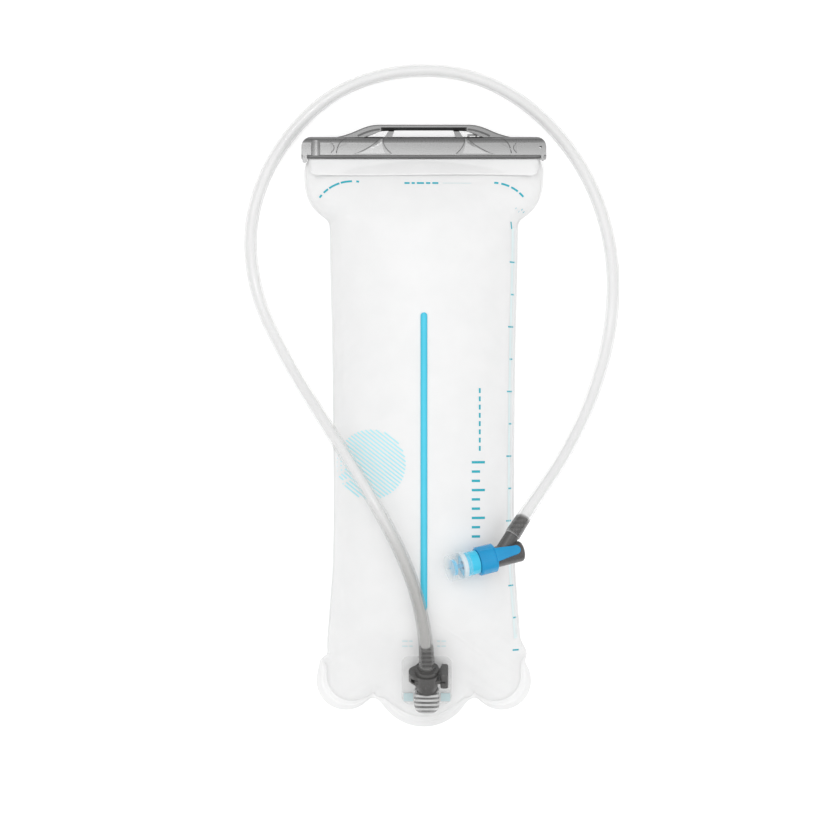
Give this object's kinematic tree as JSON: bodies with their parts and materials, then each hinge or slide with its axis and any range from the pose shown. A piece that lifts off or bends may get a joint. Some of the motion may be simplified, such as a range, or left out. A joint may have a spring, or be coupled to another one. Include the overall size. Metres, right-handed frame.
{
  "type": "hydration bladder",
  "caption": "Soft drinking-water reservoir with a slide closure, a quick coupler and a drink hose that ends in a twist-to-open bite valve.",
  "frame": {"origin": "on the table under the middle of the reservoir with its slide bar; the drink hose is left out of that box", "axes": "the reservoir lies on its back: +Z out of its front face, +Y towards the slide closure, +X to the right seen from the front"},
  "size_m": [0.2659, 0.4667, 0.0948],
  "materials": {
    "film": "frosted translucent film",
    "grey_plastic": "satin moulded plastic",
    "dark_plastic": "satin moulded plastic",
    "blue_plastic": "gloss moulded plastic",
    "blue_strip": "satin extruded strip",
    "clear_plastic": "clear moulded plastic",
    "clear_silicone": "clear silicone",
    "hose_tpu": "translucent hose",
    "seal_rubber": "black rubber",
    "spring_steel": "spring wire"
  },
  "bodies": {
    "reservoir": {"bag_front_panel": "film", "bag_rear_panel": "film", "top_flap": "film", "baffle_strip_front": "blue_strip", "baffle_strip_rear": "blue_strip", "rail_front": "grey_plastic", "rail_rear": "grey_plastic", "port_plate": "clear_plastic", "port_socket": "clear_plastic", "coupler_body": "dark_plastic", "coupler_seal": "seal_rubber", "latch_spring": "spring_steel", "poppet_spring": "spring_steel"},
    "slide": {"slide_bar": "grey_plastic"},
    "latch": {"latch_button": "dark_plastic"},
    "poppet": {"poppet": "dark_plastic"},
    "hose_set": {"plug_body": "dark_plastic", "plug_seal": "seal_rubber", "drink_hose": "hose_tpu", "elbow_body": "dark_plastic", "valve_barrel": "blue_plastic", "barrel_seal": "seal_rubber", "bite_core": "blue_plastic", "mouthpiece": "clear_silicone"},
    "sleeve": {"shutoff_sleeve": "blue_plastic"}
  },
  "joints": [
    {"name": "closure_slide", "type": "slide", "parent": "reservoir", "child": "slide", "axis": [-1, 0, 0], "range_m": [0, 0.168]},
    {"name": "plug_pull", "type": "slide", "parent": "reservoir", "child": "hose_set", "axis": [0, 0.8387, 0.5446], "range_m": [0, 0.025]},
    {"name": "poppet_close", "type": "slide", "parent": "reservoir", "child": "poppet", "axis": [0, 0.8387, 0.5446], "range_m": [0, 0.002], "deforming": ["poppet_spring"]},
    {"name": "latch_press", "type": "slide", "parent": "reservoir", "child": "latch", "axis": [-1, 0, 0], "range_m": [0, 0.0015], "stiffness_N_per_m": 400, "springref_m": -0.002, "deforming": ["latch_spring"]},
    {"name": "shutoff_twist", "type": "hinge", "parent": "hose_set", "child": "sleeve", "pos_m": [0.0674, -0.086, 0.0676], "axis": [0.9156, 0.2114, -0.342], "range_deg": [0, 90]}
  ],
  "couplings": [
    {"joint": "poppet_close", "follows": "plug_pull", "ratio": 0.08}
  ]
}
